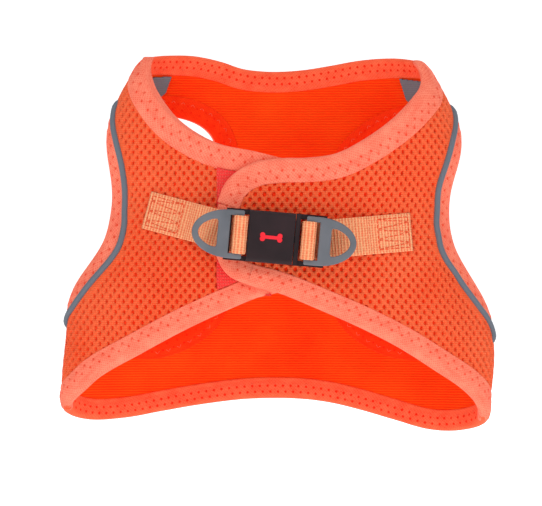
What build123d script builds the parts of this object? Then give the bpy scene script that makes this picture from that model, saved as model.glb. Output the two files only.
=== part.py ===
from build123d import *
import os

os.makedirs("parts", exist_ok=True)

# The vest stands as it does on an animal: neck opening at the top (+Z), hem at
# the bottom, back flaps and buckle towards -Y, chest panel towards +Y.
# The origin is the middle of the torso opening. All sizes are millimetres.

# Cloth layers, measured outwards from the outer face of the mesh.
LINING_IN = -4.0
LINING_OUT = -3.2
MESH_IN = -3.1
MESH_OUT = 0.0
BINDING_IN = -4.6
BINDING_OUT = 0.6
PIPING_IN = -1.2
PIPING_OUT = 1.5
SHOULDER_PATCH_IN = -5.4
SHOULDER_PATCH_OUT = -4.75
HOOK_IN = 0.15
HOOK_OUT = 1.15
LOOP_PATCH_IN = 1.7
LOOP_PATCH_OUT = 2.6
WEBBING_IN = 0.75
WEBBING_OUT = 2.25

BINDING_WIDTH = 11.0
PIPING_WIDTH = 3.2
SEAM_GAP = 0.15
CLEAR = 0.3
REACH = 80.0
OUTSIDE = 140.0
PIPING_TOP = 66.0
PIPING_LOW = -44.0
FLAP_LAP = 7.0

# The body form: height, centre in X, half width and half depth.
FORM_STATIONS = [
    (-102, -1.0, 110.0, 37.0),
    (-78, -1.0, 114.0, 37.0),
    (-52, 0.5, 113.5, 36.0),
    (-28, -1.0, 108.5, 35.0),
    (-2, -1.0, 96.0, 34.0),
    (22, 1.5, 90.0, 33.0),
    (49, 3.0, 93.5, 32.5),
    (68, 2.5, 90.5, 32.0),
    (84, 2.0, 83.0, 31.0),
    (101, 1.5, 70.0, 29.5),
]

# Middle lines of the binding tapes, as X and Z on the front plane.
CHEST_NECK = [(-92, 82), (-72, 92.5), (-61, 94.3), (-47, 94.0), (-21, 87.5), (4, 86.0)]
CHEST_NECK += [(29, 89), (46, 91.8), (63, 92.8), (78, 90.5), (96, 82)]
HEM = [(-125, -84), (-104, -88.5), (-84, -88), (-65, -84.8), (-43, -81.2), (-17, -78.3)]
HEM += [(11, -78.2), (29, -80.3), (46, -84.2), (65, -89), (84, -93.4), (100, -93), (125, -84)]
LEFT_NECK = [(-76, 104), (-73.5, 88), (-69.5, 77.5), (-56.3, 60.8), (-36, 47.2), (-13, 41.2), (0, 38)]
LEFT_TIP = [(0, 38), (9, 30), (12, 10), (10, -10), (2, -19)]
LEFT_LOWER = [(2, -19), (-13, -23.5), (-29, -30), (-54, -41.6), (-77, -53.8), (-98, -64.9), (-125, -80)]
RIGHT_NECK = [(-26.5, 19), (-22.5, 28), (-12.5, 35), (2, 37.3), (15.5, 37.6), (32, 40), (48.5, 48)]
RIGHT_NECK += [(65, 59.5), (77, 71.5), (85, 83), (92, 97)]
RIGHT_TIP = [(-26.5, 19), (-28.8, 8), (-28, -4), (-23.5, -12.5), (-15, -16.6)]
RIGHT_LOWER = [(-15, -16.6), (2.3, -21.3), (24.4, -30.2), (46.4, -39.8), (66.3, -49.8), (86, -62)]
RIGHT_LOWER += [(101, -72), (125, -89)]

# Edges of the leg openings on the chest side, from top to bottom.
LEFT_OPENING = [(-130, 67), (-74, 67), (-52, 64.5), (-42, 59.5), (-35.5, 53), (-32, 38), (-31.5, 2)]
LEFT_OPENING += [(-35, -25), (-42, -38.5), (-55, -47.5), (-74, -51), (-130, -46)]
RIGHT_OPENING = [(130, 66), (76, 63), (58, 57), (48, 50.5), (40.5, 43), (35.5, 30), (33, 2)]
RIGHT_OPENING += [(35.5, -25), (42.5, -38.5), (55, -47.5), (74, -51), (130, -46)]

# Reflective piping beside the leg openings on the back flaps.
LEFT_PIPING = [(-84.5, 82), (-84, 75.5), (-87, 68), (-87, 61), (-85.6, 54), (-82.6, 41.5), (-80.8, 29)]
LEFT_PIPING += [(-80.8, 16)]
LEFT_PIPING += [(-82.2, 9.5), (-84, 3.4), (-86.6, -3), (-91, -9.5), (-96.2, -15.8), (-101, -22)]
LEFT_PIPING += [(-105.5, -28.5), (-109.8, -34.8), (-113, -41), (-116, -50)]
RIGHT_PIPING = [(90, 80), (90.6, 73), (93, 67), (92.6, 61), (91.4, 54), (88, 41.5), (84, 29), (83, 16)]
RIGHT_PIPING += [(82.7, 9.5)]
RIGHT_PIPING += [(83.7, 3.4), (85, -3), (88, -9.5), (92.4, -15.8), (96.4, -22), (101.2, -28.5)]
RIGHT_PIPING += [(106, -34.8), (110.8, -41), (113.5, -50)]

# Corners of the hook and loop patches and of the shoulder patches.
HOOK_PATCH = [(-33.5, 40), (-4, 40), (-4, -30), (-33.5, -30)]
LOOP_PATCH = [(-19, 30), (6, 30), (6, -10), (-19, -10)]
LEFT_SHOULDER = [(-80, 87), (-61.2, 88.6), (-64.4, 79.6), (-80, 68)]
RIGHT_SHOULDER = [(68.8, 87.2), (84, 85), (82, 70), (72.4, 75.8)]

# Webbing, rings and buckle. Their own frame lies across the front: U to the
# right and slightly down, V up, W outwards.
HARDWARE_X = -1.9
HARDWARE_Z = 2.3
HARDWARE_TILT = 5.0
WEB_WIDTH = 20.0
WEB_THICK = 1.5
LEFT_WEB_TILT = 15.0
RIGHT_WEB_TILT = -5.0

BUCKLE_HEIGHT = 27.0
HOUSING_START = -14.2
HOUSING_END = 9.9
HOUSING_BACK = 42.2
HOUSING_FRONT = 51.2
CAVITY_BACK = 43.8
CAVITY_FRONT = 49.6
CAVITY_END = -10.5
CAVITY_HEIGHT = 22.0
WINDOW_START = -9.5
WINDOW_END = 2.5
FRAME_BACK = 45.8
FRAME_FRONT = 48.8
ARM_WIDTH = 2.7
END_BAR_WIDTH = 3.0
BUCKLE_END = 26.2
INSERT_START = 10.2
INSERT_WALL = 2.4
WALL_BACK = 43.4
WALL_FRONT = 50.4
GUIDE_TIP = -6.0
GUIDE_HEIGHT = 3.6
GUIDE_BACK = 45.2
GUIDE_FRONT = 48.2
PRONG_PIVOT = 8.3
PRONG_TIP = -8.0
PRONG_MID = 8.3
PRONG_WIDTH = 3.0
PRONG_THICK = 3.4
BARB_BACK = -4.0
BARB_FRONT = -5.5
BARB_OUT = 11.8
PRONG_TAPER = 0.2
PRONG_CHAMFER = 0.8

LEFT_RING_U = -18.4
RIGHT_RING_U = 17.4
RING_W = 51.3
RING_BAR_RADIUS = 1.4
RING_BAR_SIDE = 1.7
RING_BAR_SINK = 0.5
RING_HALF_HEIGHT = 12.7
RING_LENGTH = 25.0
RING_CURVE = 20.0
RING_THICK = 3.0
RING_RIM = 3.3
RING_WINDOW = 8.5
RING_FILL = 11.0
CROSSBAR_START = 5.4
CROSSBAR_END = 11.6
LOOP_IN = 2.3
LOOP_OUT = 3.8
LOOP_BACK = 43.7
HOUSING_ROUND = 2.2
WINDOW_BACK = 44.4
WINDOW_FRONT = 49.0
EMBLEM_U = -2.0
EMBLEM_V = 0.0
EMBLEM_LENGTH = 9.0
EMBLEM_WIDTH = 1.8
EMBLEM_KNUCKLE = 1.35
EMBLEM_KNUCKLES = [(-4.5, 1.0), (-4.5, -1.0), (4.5, 1.0), (4.5, -1.0)]
EMBLEM_THICK = 0.4
SLIVER = 0.05

# Lines of the free webbing, as distance along it and distance outwards.
LEFT_SEWN_OUT = -51.0
LEFT_SEWN_IN = -30.9
LEFT_STRAP_LINE = [(-30.4, 29.9), (-16.5, 39.9), (-8, 42.75), (2, 42.75)]
RIGHT_SEWN_IN = 35.2
RIGHT_SEWN_OUT = 54.5
RIGHT_STRAP_LINE = [(-2.8, 42.75), (9, 42.75), (20, 41.5), (34.7, 37.3)]


def station_face(station, outwards, lap):
    """One level of the body form as an oval."""
    height, centre, half_width, half_depth = station
    with BuildSketch(Plane.XY.offset(height)) as oval:
        with Locations((centre, 0)):
            Ellipse(half_depth + lap + outwards, half_width + outwards, rotation=90)
    return oval.sketch.face()


def body_form(outwards, lap):
    """The solid inside one layer of cloth."""
    with BuildPart() as form:
        loft([station_face(station, outwards, lap) for station in FORM_STATIONS])
    return form.part


def cloth_tube(inner, outer, lap=0.0):
    """A tube of cloth round the whole body between two layers."""
    with BuildPart() as tube:
        add(body_form(outer, lap))
        add(body_form(inner, lap), mode=Mode.SUBTRACT)
    return tube.part


def flat_area(*runs):
    """A closed area on the front plane, bounded by runs that join end to end."""
    with BuildSketch(Plane.XZ) as flat:
        with BuildLine():
            for run in runs:
                if len(run) > 3:
                    Spline(*run)
                else:
                    Polyline(*run)
        make_face()
    return flat.sketch


def four_sided(corners):
    """A closed area with four straight sides on the front plane."""
    first, second, third, fourth = corners
    return flat_area([first, second, third], [third, fourth, first])


def round_by(start, end, x):
    """Three straight runs that join two points by way of a far X."""
    return [start, (x, start[1])], [(x, start[1]), (x, end[1])], [(x, end[1]), end]


def tape(points, width):
    """A band of even width along a smooth line on the front plane."""
    with BuildSketch(Plane.XZ) as band:
        with BuildLine():
            Spline(*points)
        trace(line_width=width)
    return band.sketch


def less(area, *bands):
    """An area with bands taken out of it."""
    with BuildSketch(Plane.XZ) as rest:
        add(area)
        for band in bands:
            add(band, mode=Mode.SUBTRACT)
    return rest.sketch


def within(area, *limits):
    """The part of an area that lies inside every limit."""
    with BuildSketch(Plane.XZ) as shared:
        add(area)
        for limit in limits:
            add(limit, mode=Mode.INTERSECT)
    return shared.sketch


def cut_front(tube, area):
    """The front of a cloth tube inside an area."""
    with BuildPart() as piece:
        add(tube)
        extrude(area.moved(Location((0, -SEAM_GAP, 0))), amount=REACH, mode=Mode.INTERSECT)
    return piece.part


def cut_back(tube, area, gap=SEAM_GAP):
    """The back of a cloth tube inside an area."""
    with BuildPart() as piece:
        add(tube)
        extrude(area.moved(Location((0, gap, 0))), amount=-REACH, mode=Mode.INTERSECT)
    return piece.part


# Tubes that every cloth piece is cut from. The lap pair lies over the left flap.
lining_tube = cloth_tube(LINING_IN, LINING_OUT)
mesh_tube = cloth_tube(MESH_IN, MESH_OUT)
binding_tube = cloth_tube(BINDING_IN, BINDING_OUT)
piping_tube = cloth_tube(PIPING_IN, PIPING_OUT)
lap_lining_tube = cloth_tube(LINING_IN, LINING_OUT, FLAP_LAP)
lap_mesh_tube = cloth_tube(MESH_IN, MESH_OUT, FLAP_LAP)
lap_binding_tube = cloth_tube(BINDING_IN, BINDING_OUT, FLAP_LAP)
lap_piping_tube = cloth_tube(PIPING_IN, PIPING_OUT, FLAP_LAP)

# Areas on the front plane.
chest_neck_tape = tape(CHEST_NECK, BINDING_WIDTH)
hem_tape = tape(HEM, BINDING_WIDTH)
left_neck_tape = tape(LEFT_NECK, BINDING_WIDTH)
left_tip_tape = tape(LEFT_TIP, BINDING_WIDTH)
left_lower_tape = tape(LEFT_LOWER, BINDING_WIDTH)
right_neck_tape = tape(RIGHT_NECK, BINDING_WIDTH)
right_tip_tape = tape(RIGHT_TIP, BINDING_WIDTH)
right_lower_tape = tape(RIGHT_LOWER, BINDING_WIDTH)
left_piping_tape = tape(LEFT_PIPING, PIPING_WIDTH)
right_piping_tape = tape(RIGHT_PIPING, PIPING_WIDTH)
right_opening = flat_area(RIGHT_OPENING, [RIGHT_OPENING[-1], RIGHT_OPENING[0]])
left_opening = flat_area(LEFT_OPENING, [LEFT_OPENING[-1], LEFT_OPENING[0]])
right_leg_ring = less(tape(RIGHT_OPENING, 2 * BINDING_WIDTH), right_opening)
left_leg_ring = less(tape(LEFT_OPENING, 2 * BINDING_WIDTH), left_opening)
piping_limit = flat_area(
    [(-OUTSIDE, PIPING_LOW), (OUTSIDE, PIPING_LOW), (OUTSIDE, PIPING_TOP)],
    [(OUTSIDE, PIPING_TOP), (-OUTSIDE, PIPING_TOP), (-OUTSIDE, PIPING_LOW)],
)
left_leg_side = less(
    flat_area(LEFT_PIPING, *round_by(LEFT_PIPING[-1], LEFT_PIPING[0], -OUTSIDE)),
    left_piping_tape,
)
right_leg_side = less(
    flat_area(RIGHT_PIPING, *round_by(RIGHT_PIPING[-1], RIGHT_PIPING[0], OUTSIDE)),
    right_piping_tape,
)
left_flap_outline = flat_area(
    LEFT_NECK, LEFT_TIP, LEFT_LOWER, *round_by(LEFT_LOWER[-1], LEFT_NECK[0], -OUTSIDE)
)
right_flap_outline = flat_area(
    RIGHT_NECK, *round_by(RIGHT_NECK[-1], RIGHT_LOWER[-1], OUTSIDE), RIGHT_LOWER[::-1], RIGHT_TIP[::-1]
)
chest_outline = flat_area(
    CHEST_NECK, *round_by(CHEST_NECK[-1], HEM[-1], OUTSIDE), HEM[::-1],
    *round_by(HEM[0], CHEST_NECK[0], -OUTSIDE),
)
left_panel = less(
    left_flap_outline, left_neck_tape, left_tip_tape, left_lower_tape, left_piping_tape, left_leg_side
)
right_panel = less(
    right_flap_outline, right_neck_tape, right_tip_tape, right_lower_tape, right_piping_tape, right_leg_side
)
chest_panel = less(
    chest_outline, chest_neck_tape, hem_tape,
    left_opening, right_opening, left_leg_ring, right_leg_ring,
)
left_edge_tape = less(left_lower_tape, left_tip_tape)
left_tip_band = less(left_tip_tape, left_neck_tape)
right_edge_tape = less(right_lower_tape, right_tip_tape)
right_tip_band = less(right_tip_tape, right_neck_tape)
hook_area = within(left_panel, four_sided(HOOK_PATCH))
loop_area = within(right_panel, four_sided(LOOP_PATCH))
left_patch_area = four_sided(LEFT_SHOULDER)
right_patch_area = four_sided(RIGHT_SHOULDER)

# ---- chest side ----
with BuildPart() as chest_mesh:
    add(cut_back(mesh_tube, chest_panel))

with BuildPart() as chest_lining:
    add(cut_back(lining_tube, chest_panel))

with BuildPart() as chest_neck_binding:
    add(cut_back(binding_tube, chest_neck_tape))

with BuildPart() as hem_binding:
    add(cut_back(binding_tube, hem_tape))

# ---- left back flap ----
with BuildPart() as left_flap_mesh:
    add(cut_front(mesh_tube, left_panel))

with BuildPart() as left_flap_lining:
    add(cut_front(lining_tube, left_panel))

with BuildPart() as left_neck_binding:
    add(cut_front(binding_tube, left_neck_tape))

with BuildPart() as left_end_binding:
    add(cut_front(binding_tube, left_tip_band))

with BuildPart() as left_lower_binding:
    add(cut_front(binding_tube, left_edge_tape))

# ---- right back flap, lying over the left one ----
with BuildPart() as right_flap_mesh:
    add(cut_front(lap_mesh_tube, right_panel))

with BuildPart() as right_flap_lining:
    add(cut_front(lap_lining_tube, right_panel))

with BuildPart() as right_neck_binding:
    add(cut_front(lap_binding_tube, right_neck_tape))

with BuildPart() as right_end_binding:
    add(cut_front(lap_binding_tube, right_tip_band))

with BuildPart() as right_lower_binding:
    add(cut_front(lap_binding_tube, right_edge_tape))

# ---- leg openings: binding all round, reflective piping on the back flap ----
with BuildPart() as left_leg_binding:
    add(binding_tube)
    extrude(left_leg_side, amount=REACH, mode=Mode.INTERSECT)
    add(cut_back(binding_tube, left_leg_ring, 0.0))

with BuildPart() as right_leg_binding:
    add(lap_binding_tube)
    extrude(right_leg_side, amount=REACH, mode=Mode.INTERSECT)
    add(cut_back(binding_tube, right_leg_ring))

with BuildPart() as left_reflective_piping:
    add(cut_front(piping_tube, within(left_piping_tape, piping_limit)))

with BuildPart() as right_reflective_piping:
    add(cut_front(lap_piping_tube, within(right_piping_tape, piping_limit)))

# ---- patches ----
shoulder_patch_tube = cloth_tube(SHOULDER_PATCH_IN, SHOULDER_PATCH_OUT)
hook_tube = cloth_tube(HOOK_IN, HOOK_OUT)
loop_tube = cloth_tube(LOOP_PATCH_IN, LOOP_PATCH_OUT)

with BuildPart() as left_shoulder_patch:
    add(cut_back(shoulder_patch_tube, left_patch_area))

with BuildPart() as right_shoulder_patch:
    add(cut_back(shoulder_patch_tube, right_patch_area))

with BuildPart() as hook_patch:
    add(cut_front(hook_tube, hook_area))

with BuildPart() as loop_patch:
    add(cut_front(loop_tube, loop_area))


# ---- webbing, rings and buckle ----
def front_plane(x, z, tilt):
    """A plane lying across the front: its X runs right and down by the tilt, its Z outwards."""
    turned = Vector(1, 0, 0).rotate(Axis.Y, tilt)
    return Plane(origin=(x, 0, z), x_dir=turned, z_dir=(0, -1, 0))


def edge_on(plane, u=0.0):
    """A plane seen along the webbing's width: its X along the webbing, its Y outwards."""
    return Plane(origin=plane.from_local_coords((u, 0, 0)), x_dir=plane.x_dir, z_dir=-plane.y_dir)


def block(u, v, w, mode=Mode.ADD):
    """A box between two limits along each direction of the current plane."""
    middle = ((u[0] + u[1]) / 2, (v[0] + v[1]) / 2, (w[0] + w[1]) / 2)
    with Locations(middle):
        Box(abs(u[1] - u[0]), abs(v[1] - v[0]), abs(w[1] - w[0]), mode=mode)


hardware = front_plane(HARDWARE_X, HARDWARE_Z, HARDWARE_TILT)
left_loop_point = hardware.from_local_coords((LEFT_RING_U, 0, 0))
right_loop_point = hardware.from_local_coords((RIGHT_RING_U, 0, 0))
left_web = front_plane(left_loop_point.X, left_loop_point.Z, LEFT_WEB_TILT)
right_web = front_plane(right_loop_point.X, right_loop_point.Z, RIGHT_WEB_TILT)

webbing_tube = cloth_tube(WEBBING_IN, WEBBING_OUT)
lap_webbing_tube = cloth_tube(WEBBING_IN, WEBBING_OUT, FLAP_LAP)


def sewn_area(plane, start, end):
    """The flat outline of a sewn webbing end, seen from the front."""
    half = WEB_WIDTH / 2
    corners = []
    for point in [(start, -half), (end, -half), (end, half), (start, half)]:
        corner = plane.from_local_coords(point)
        corners.append((corner.X, corner.Z))
    return four_sided(corners)


with BuildPart() as left_strap_sewn_end:
    add(cut_front(webbing_tube, sewn_area(left_web, LEFT_SEWN_OUT, LEFT_SEWN_IN)))

with BuildPart() as right_strap_sewn_end:
    add(cut_front(lap_webbing_tube, sewn_area(right_web, RIGHT_SEWN_IN, RIGHT_SEWN_OUT)))

with BuildPart() as left_strap:
    with BuildSketch(edge_on(left_web)) as left_strap_side:
        with BuildLine() as left_strap_line:
            Polyline(*LEFT_STRAP_LINE)
        trace(line_width=WEB_THICK)
    extrude(amount=WEB_WIDTH / 2, both=True)

with BuildPart() as right_strap:
    with BuildSketch(edge_on(right_web)) as right_strap_side:
        with BuildLine() as right_strap_line:
            Polyline(*RIGHT_STRAP_LINE)
        trace(line_width=WEB_THICK)
    extrude(amount=WEB_WIDTH / 2, both=True)


def draw_web_loop():
    """The webbing seen on its edge: round over the ring bar, flat behind the buckle's frame."""
    with Locations((0, RING_W)):
        Circle(LOOP_OUT)
    with Locations((0, (LOOP_BACK + RING_W) / 2)):
        Rectangle(2 * LOOP_OUT, RING_W - LOOP_BACK)
    with Locations((0, RING_W)):
        Circle(LOOP_IN, mode=Mode.SUBTRACT)
    with Locations((0, (LOOP_BACK + WEB_THICK + RING_W) / 2)):
        Rectangle(2 * LOOP_IN, RING_W - LOOP_BACK - WEB_THICK, mode=Mode.SUBTRACT)


with BuildPart() as left_web_loop:
    with BuildSketch(edge_on(hardware, LEFT_RING_U)) as left_loop_side:
        draw_web_loop()
    extrude(amount=WEB_WIDTH / 2, both=True)

with BuildPart() as right_web_loop:
    with BuildSketch(edge_on(hardware, RIGHT_RING_U)) as right_loop_side:
        draw_web_loop()
    extrude(amount=WEB_WIDTH / 2, both=True)


def draw_ring(side):
    """The flat outline of a ring; side is -1 for the left ring and 1 for the right one."""
    curve_middle = side * (RING_LENGTH - RING_CURVE)
    bar_edge = -side * RING_BAR_SIDE
    with Locations((curve_middle, 0)):
        Ellipse(RING_CURVE, RING_HALF_HEIGHT)
    with Locations((bar_edge - side * RING_CURVE / 2, 0)):
        Rectangle(RING_CURVE, 3 * RING_HALF_HEIGHT, mode=Mode.SUBTRACT)
    with Locations(((curve_middle + bar_edge) / 2, 0)):
        Rectangle(abs(curve_middle - bar_edge), 2 * RING_HALF_HEIGHT)
    with Locations((curve_middle, 0)):
        Ellipse(RING_CURVE - RING_RIM, RING_WINDOW, mode=Mode.SUBTRACT)
    with Locations((side * CROSSBAR_END / 2, 0)):
        Rectangle(CROSSBAR_END, 2 * RING_FILL)
    with Locations(((side * CROSSBAR_START + bar_edge) / 2, 0)):
        Rectangle(CROSSBAR_START + RING_BAR_SIDE, WEB_WIDTH + 2 * CLEAR, mode=Mode.SUBTRACT)


def ring_plane(u):
    """The middle plane of a ring whose bar lies at u."""
    middle = hardware.from_local_coords((u, 0, RING_W))
    return Plane(origin=middle, x_dir=hardware.x_dir, z_dir=hardware.z_dir)


left_ring_plane = ring_plane(LEFT_RING_U)
right_ring_plane = ring_plane(RIGHT_RING_U)
ring_bar_length = WEB_WIDTH + 2 * CLEAR + 2 * RING_BAR_SINK

with BuildPart(left_ring_plane) as left_d_ring:
    with BuildSketch(left_ring_plane) as left_ring_face:
        draw_ring(-1)
    extrude(amount=RING_THICK / 2, both=True)
    Cylinder(RING_BAR_RADIUS, ring_bar_length, rotation=(90, 0, 0))

with BuildPart(right_ring_plane) as right_d_ring:
    with BuildSketch(right_ring_plane) as right_ring_face:
        draw_ring(1)
    extrude(amount=RING_THICK / 2, both=True)
    Cylinder(RING_BAR_RADIUS, ring_bar_length, rotation=(90, 0, 0))

half_height = BUCKLE_HEIGHT / 2
arm_inner = half_height - ARM_WIDTH
full_height = (-half_height, half_height)
upper_arm = (arm_inner, half_height)
lower_arm = (-half_height, -arm_inner)
frame_depth = (FRAME_BACK, FRAME_FRONT)
cavity_height = (-CAVITY_HEIGHT / 2, CAVITY_HEIGHT / 2)
through_height = (-BUCKLE_HEIGHT, BUCKLE_HEIGHT)

with BuildPart(hardware) as buckle_housing:
    block((HOUSING_START, HOUSING_END), full_height, (HOUSING_BACK, HOUSING_FRONT))
    long_edges = buckle_housing.edges().filter_by(Axis((0, 0, 0), hardware.x_dir))
    fillet(long_edges, radius=HOUSING_ROUND)
    block((CAVITY_END, HOUSING_END), cavity_height, (CAVITY_BACK, CAVITY_FRONT), Mode.SUBTRACT)
    block((WINDOW_START, WINDOW_END), through_height, (WINDOW_BACK, WINDOW_FRONT), Mode.SUBTRACT)
    block((-BUCKLE_END, HOUSING_START), upper_arm, frame_depth)
    block((-BUCKLE_END, HOUSING_START), lower_arm, frame_depth)
    block((-BUCKLE_END, -BUCKLE_END + END_BAR_WIDTH), full_height, frame_depth)

with BuildPart(hardware) as buckle_emblem:
    with BuildSketch(hardware.offset(HOUSING_FRONT + SLIVER)) as emblem_shape:
        with Locations((EMBLEM_U, EMBLEM_V)):
            Rectangle(EMBLEM_LENGTH, EMBLEM_WIDTH)
        for u, v in EMBLEM_KNUCKLES:
            with Locations((EMBLEM_U + u, EMBLEM_V + v)):
                Circle(EMBLEM_KNUCKLE)
    extrude(amount=EMBLEM_THICK)

with BuildPart(hardware) as buckle_insert:
    block((INSERT_START, INSERT_START + INSERT_WALL), full_height, (WALL_BACK, WALL_FRONT))
    block((INSERT_START, BUCKLE_END), upper_arm, frame_depth)
    block((INSERT_START, BUCKLE_END), lower_arm, frame_depth)
    block((BUCKLE_END - END_BAR_WIDTH, BUCKLE_END), full_height, frame_depth)
    block((GUIDE_TIP, INSERT_START), (-GUIDE_HEIGHT / 2, GUIDE_HEIGHT / 2), (GUIDE_BACK, GUIDE_FRONT))

prong_middle = (CAVITY_BACK + CAVITY_FRONT) / 2
prong_in = PRONG_MID - PRONG_WIDTH / 2
prong_out = PRONG_MID + PRONG_WIDTH / 2
prong_edge = [
    (PRONG_PIVOT, prong_in),
    (PRONG_PIVOT, prong_out),
    (BARB_BACK, prong_out),
    (BARB_BACK, BARB_OUT),
    (BARB_FRONT, BARB_OUT),
    (PRONG_TIP, prong_out - PRONG_TAPER),
    (PRONG_TIP, prong_in + PRONG_CHAMFER),
    (PRONG_TIP + PRONG_CHAMFER, prong_in),
]


def draw_prong(side):
    """A prong's outline with a round root; side is 1 for the upper one and -1 for the lower one."""
    corners = [(u, side * v) for u, v in prong_edge]
    Polygon(*corners[::side], align=None)
    with Locations((PRONG_PIVOT, side * PRONG_MID)):
        Circle(PRONG_WIDTH / 2)


with BuildPart(hardware) as upper_prong:
    with BuildSketch(hardware.offset(prong_middle)) as upper_prong_face:
        draw_prong(1)
    extrude(amount=PRONG_THICK / 2, both=True)

with BuildPart(hardware) as lower_prong:
    with BuildSketch(hardware.offset(prong_middle)) as lower_prong_face:
        draw_prong(-1)
    extrude(amount=PRONG_THICK / 2, both=True)

# ---- names and files ----
chest_mesh.part.label = "chest_mesh"
chest_lining.part.label = "chest_lining"
chest_neck_binding.part.label = "chest_neck_binding"
hem_binding.part.label = "hem_binding"
left_flap_mesh.part.label = "left_flap_mesh"
left_flap_lining.part.label = "left_flap_lining"
left_neck_binding.part.label = "left_neck_binding"
left_end_binding.part.label = "left_end_binding"
left_lower_binding.part.label = "left_lower_binding"
right_flap_mesh.part.label = "right_flap_mesh"
right_flap_lining.part.label = "right_flap_lining"
right_neck_binding.part.label = "right_neck_binding"
right_end_binding.part.label = "right_end_binding"
right_lower_binding.part.label = "right_lower_binding"
left_leg_binding.part.label = "left_leg_binding"
right_leg_binding.part.label = "right_leg_binding"
left_reflective_piping.part.label = "left_reflective_piping"
right_reflective_piping.part.label = "right_reflective_piping"
left_shoulder_patch.part.label = "left_shoulder_patch"
right_shoulder_patch.part.label = "right_shoulder_patch"
hook_patch.part.label = "hook_patch"
loop_patch.part.label = "loop_patch"
left_strap_sewn_end.part.label = "left_strap_sewn_end"
right_strap_sewn_end.part.label = "right_strap_sewn_end"
left_strap.part.label = "left_strap"
right_strap.part.label = "right_strap"
left_web_loop.part.label = "left_web_loop"
right_web_loop.part.label = "right_web_loop"
left_d_ring.part.label = "left_d_ring"
right_d_ring.part.label = "right_d_ring"
buckle_housing.part.label = "buckle_housing"
buckle_emblem.part.label = "buckle_emblem"
buckle_insert.part.label = "buckle_insert"
upper_prong.part.label = "upper_prong"
lower_prong.part.label = "lower_prong"

export_step(chest_mesh.part, "parts/chest_mesh.step")
export_step(chest_lining.part, "parts/chest_lining.step")
export_step(chest_neck_binding.part, "parts/chest_neck_binding.step")
export_step(hem_binding.part, "parts/hem_binding.step")
export_step(left_flap_mesh.part, "parts/left_flap_mesh.step")
export_step(left_flap_lining.part, "parts/left_flap_lining.step")
export_step(left_neck_binding.part, "parts/left_neck_binding.step")
export_step(left_end_binding.part, "parts/left_end_binding.step")
export_step(left_lower_binding.part, "parts/left_lower_binding.step")
export_step(right_flap_mesh.part, "parts/right_flap_mesh.step")
export_step(right_flap_lining.part, "parts/right_flap_lining.step")
export_step(right_neck_binding.part, "parts/right_neck_binding.step")
export_step(right_end_binding.part, "parts/right_end_binding.step")
export_step(right_lower_binding.part, "parts/right_lower_binding.step")
export_step(left_leg_binding.part, "parts/left_leg_binding.step")
export_step(right_leg_binding.part, "parts/right_leg_binding.step")
export_step(left_reflective_piping.part, "parts/left_reflective_piping.step")
export_step(right_reflective_piping.part, "parts/right_reflective_piping.step")
export_step(left_shoulder_patch.part, "parts/left_shoulder_patch.step")
export_step(right_shoulder_patch.part, "parts/right_shoulder_patch.step")
export_step(hook_patch.part, "parts/hook_patch.step")
export_step(loop_patch.part, "parts/loop_patch.step")
export_step(left_strap_sewn_end.part, "parts/left_strap_sewn_end.step")
export_step(right_strap_sewn_end.part, "parts/right_strap_sewn_end.step")
export_step(left_strap.part, "parts/left_strap.step")
export_step(right_strap.part, "parts/right_strap.step")
export_step(left_web_loop.part, "parts/left_web_loop.step")
export_step(right_web_loop.part, "parts/right_web_loop.step")
export_step(left_d_ring.part, "parts/left_d_ring.step")
export_step(right_d_ring.part, "parts/right_d_ring.step")
export_step(buckle_housing.part, "parts/buckle_housing.step")
export_step(buckle_emblem.part, "parts/buckle_emblem.step")
export_step(buckle_insert.part, "parts/buckle_insert.step")
export_step(upper_prong.part, "parts/upper_prong.step")
export_step(lower_prong.part, "parts/lower_prong.step")
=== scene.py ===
import bpy
import math
import numpy as np
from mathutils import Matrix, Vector


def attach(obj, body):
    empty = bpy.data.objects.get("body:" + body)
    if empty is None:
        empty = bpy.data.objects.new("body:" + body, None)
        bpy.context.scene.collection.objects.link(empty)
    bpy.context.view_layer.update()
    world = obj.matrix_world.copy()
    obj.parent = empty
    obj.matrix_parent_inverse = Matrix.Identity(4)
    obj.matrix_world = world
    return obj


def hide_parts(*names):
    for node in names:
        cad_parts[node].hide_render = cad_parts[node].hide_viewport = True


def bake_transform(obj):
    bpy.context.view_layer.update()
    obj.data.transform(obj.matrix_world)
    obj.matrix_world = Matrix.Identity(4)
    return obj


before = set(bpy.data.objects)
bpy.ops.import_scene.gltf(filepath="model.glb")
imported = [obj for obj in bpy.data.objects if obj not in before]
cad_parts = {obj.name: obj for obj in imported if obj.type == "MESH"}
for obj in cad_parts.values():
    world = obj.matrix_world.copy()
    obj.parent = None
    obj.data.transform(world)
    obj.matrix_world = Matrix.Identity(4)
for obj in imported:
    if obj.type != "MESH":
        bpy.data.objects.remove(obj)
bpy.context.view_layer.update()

MM = 0.001

# ---- lines
# Points between two given points of a smooth line.
LINE_PARTS = 24


def unit(vectors):
    """Vectors of length one, the same way as the given ones."""
    return vectors / np.linalg.norm(vectors, axis=-1, keepdims=True)


def round_heading(points):
    """Heading at each point of a closed line."""
    return unit(np.roll(points, -1, axis=0) - np.roll(points, 1, axis=0))


def run_lengths(points):
    """How far along a line each of its points is."""
    return np.concatenate([[0.0], np.cumsum(np.linalg.norm(np.diff(points, axis=0), axis=1))])


def at_lengths(wanted, lengths, rows):
    """Rows of two values at wanted lengths, between those at known lengths."""
    return np.stack([np.interp(wanted, lengths, rows[:, k]) for k in range(2)], axis=-1)


def arc(centre, radii, start, turn, parts):
    """Points on a circle or an ellipse, from one angle on by a turn."""
    angles = [start + turn * k / parts for k in range(parts + 1)]
    return [(centre[0] + radii[0] * math.cos(a), centre[1] + radii[1] * math.sin(a)) for a in angles]


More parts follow.
